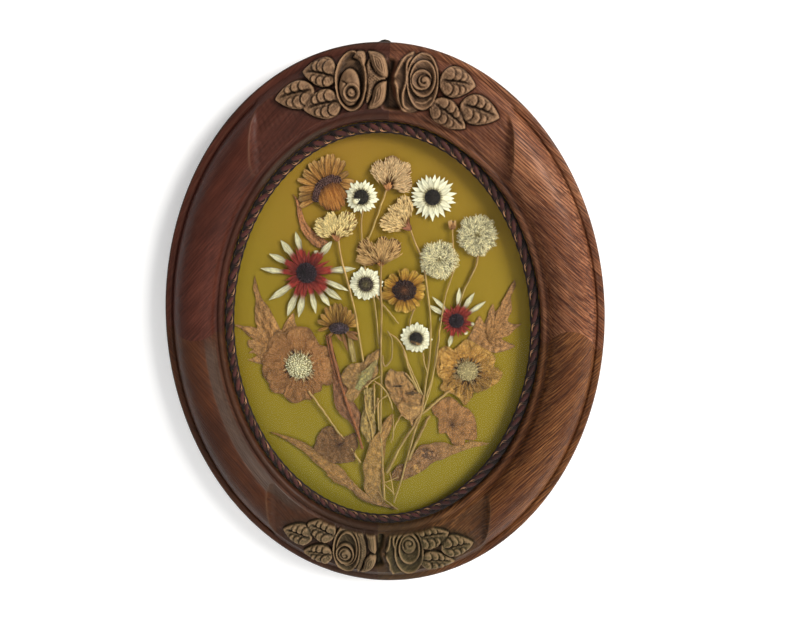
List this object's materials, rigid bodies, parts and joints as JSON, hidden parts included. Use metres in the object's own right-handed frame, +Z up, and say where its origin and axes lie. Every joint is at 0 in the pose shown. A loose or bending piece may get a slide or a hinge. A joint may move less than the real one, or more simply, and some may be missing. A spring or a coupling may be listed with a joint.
{
  "type": "pressed flower frame",
  "caption": "Oval carved wooden wall frame with dried pressed flowers, leaves and stems on satin behind a flat pane, hung by a wire loop.",
  "frame": {"origin": "point under the wire loop where a wall nail carries the frame", "axes": "+X to the right seen from the front, +Z up, and the front faces -Y"},
  "size_m": [0.3079, 0.0286, 0.3924],
  "materials": {
    "stained_wood": "dark red-brown stain, worn satin",
    "hardboard": "matte brown board",
    "satin": "olive-gold satin",
    "glass": "clear",
    "plum_braid": "plum gimp braid with gold stitches",
    "dark_wire": "dark annealed wire",
    "ochre_petals": "dry matte petals",
    "white_petals": "dry papery white bracts, dark disc",
    "golden_petals": "dry matte petals, dark disc",
    "papery_petals": "thin brown ruffled petals, cream stamens",
    "papery_gold_petals": "thin golden ruffled petals, grey stamens",
    "red_petals": "dark red petals with white tips",
    "tan_tuft": "tan bristly tufts",
    "cream_tuft": "cream bristly tufts",
    "pale_tuft": "pale bristly tufts",
    "dry_leaf": "crisp brown dried leaf",
    "straw": "straw-coloured dried stem"
  },
  "bodies": {
    "root": {"backing_board": "hardboard", "braid": "plum_braid", "broad_leaf": "dry_leaf", "centre_leaf": "dry_leaf", "cream_tuft_left": "cream_tuft", "cream_tuft_right": "cream_tuft", "curved_leaf": "dry_leaf", "faded_bloom_left": "dry_leaf", "faded_bloom_right": "dry_leaf", "folded_daisy": "ochre_petals", "frame_lower_left": "stained_wood", "frame_lower_right": "stained_wood", "frame_upper_left": "stained_wood", "frame_upper_right": "stained_wood", "glass": "glass", "golden_daisy": "golden_petals", "hanging_loop": "dark_wire", "large_white_daisy": "white_petals", "lobed_leaf_left": "dry_leaf", "lobed_leaf_right": "dry_leaf", "long_leaf_left": "dry_leaf", "long_leaf_right": "dry_leaf", "lower_white_daisy": "white_petals", "middle_white_daisy": "white_petals", "ochre_daisy": "ochre_petals", "pale_puff_middle": "pale_tuft", "pale_puff_right": "pale_tuft", "papery_flower_left": "papery_petals", "papery_flower_right": "papery_gold_petals", "red_daisy_left": "red_petals", "red_daisy_right": "red_petals", "satin_ground": "satin", "small_bud": "tan_tuft", "small_white_daisy": "white_petals", "stem_bud": "straw", "stem_cream": "straw", "stem_cream_right": "straw", "stem_golden": "straw", "stem_middle_white": "straw", "stem_papery_left": "straw", "stem_papery_right": "straw", "stem_puff_right": "straw", "stem_small_white": "straw", "stem_tan_middle": "straw", "stem_tan_top": "straw", "stem_thin": "straw", "strap_leaf": "dry_leaf", "tan_tuft_middle": "tan_tuft", "tan_tuft_top": "tan_tuft", "twisted_leaf": "dry_leaf"}
  },
  "joints": []
}
